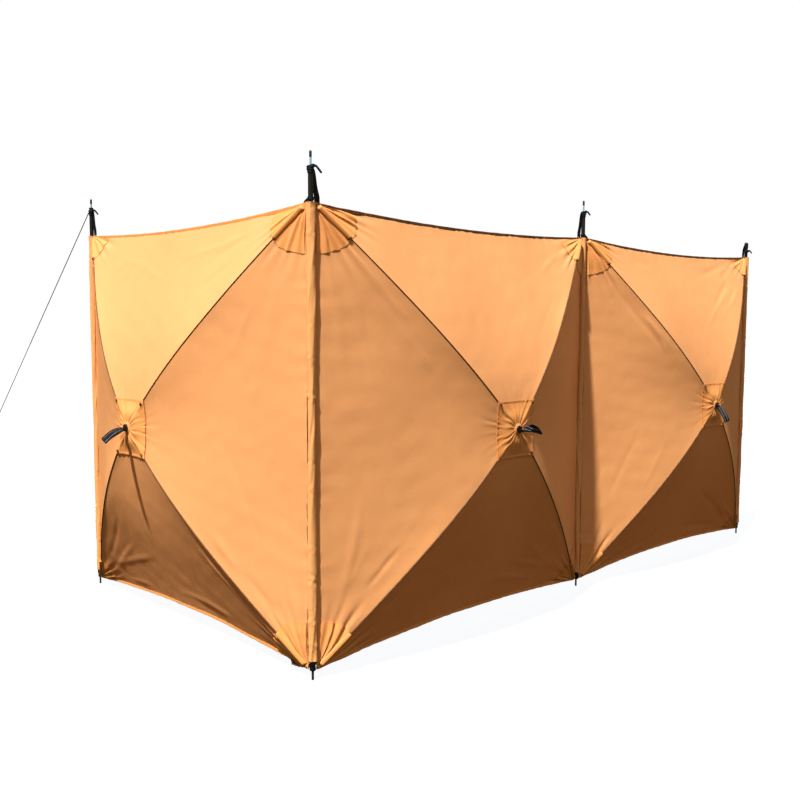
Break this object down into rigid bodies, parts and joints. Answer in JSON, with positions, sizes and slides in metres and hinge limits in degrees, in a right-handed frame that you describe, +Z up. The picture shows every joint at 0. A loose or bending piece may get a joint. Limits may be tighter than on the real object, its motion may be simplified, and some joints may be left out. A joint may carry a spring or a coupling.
{
  "type": "beach windbreak",
  "caption": "Pop-up beach windbreak: square cloth bays with bowed rods, central hubs and pull straps between upright poles, with a guy line.",
  "frame": {"origin": "foot of the corner pole, on the ground", "axes": "+Z up, +X along the middle bay from the corner pole, +Y along the first bay from the corner pole; the outer sides face -Y and -X"},
  "size_m": [3.7953, 4.2585, 1.912],
  "materials": {
    "cloth": "thin coated polyester, orange tan",
    "sleeve_cloth": "thin coated polyester, doubled",
    "binding": "woven binding tape, dark brown",
    "webbing": "woven webbing, black",
    "cord": "braided cord, black",
    "hub": "moulded, black",
    "rod": "glass fibre rod, dark grey",
    "pole": "powder coat, black",
    "steel": "bright"
  },
  "bodies": {
    "middle_bay": {"pole_2": "pole", "pins_2": "steel", "sleeve_2": "sleeve_cloth", "ties_2": "webbing", "bay_2_top_cloth": "cloth", "bay_2_right_cloth": "cloth", "bay_2_bottom_cloth": "cloth", "bay_2_left_cloth": "cloth", "bay_2_hems": "binding", "bay_2_rods": "rod", "bay_2_hub": "hub", "bay_2_pull_strap": "webbing", "pole_3": "pole", "pins_3": "steel", "sleeve_3": "sleeve_cloth", "ties_3": "webbing"},
    "left_bay": {"pole_1": "pole", "pins_1": "steel", "sleeve_1": "sleeve_cloth", "ties_1": "webbing", "bay_1_top_cloth": "cloth", "bay_1_right_cloth": "cloth", "bay_1_bottom_cloth": "cloth", "bay_1_left_cloth": "cloth", "bay_1_hems": "binding", "bay_1_rods": "rod", "bay_1_hub": "hub", "bay_1_pull_strap": "webbing", "bay_1_hinge_loops": "webbing", "guy_line": "cord", "guy_runner": "hub", "guy_peg": "steel"},
    "right_bay": {"bay_3_top_cloth": "cloth", "bay_3_right_cloth": "cloth", "bay_3_bottom_cloth": "cloth", "bay_3_left_cloth": "cloth", "bay_3_hems": "binding", "bay_3_rods": "rod", "bay_3_hub": "hub", "bay_3_pull_strap": "webbing", "bay_3_hinge_loops": "webbing", "pole_4": "pole", "pins_4": "steel", "sleeve_4": "sleeve_cloth", "ties_4": "webbing"}
  },
  "joints": [
    {"name": "left_bay_turn", "type": "hinge", "parent": "middle_bay", "child": "left_bay", "pos_m": [0, 0, 0.9], "axis": [0, 0, 1], "range_deg": [0, 180]},
    {"name": "right_bay_turn", "type": "hinge", "parent": "middle_bay", "child": "right_bay", "pos_m": [1.7, 0, 0.9], "axis": [0, 0, 1], "range_deg": [-88, 92]}
  ]
}
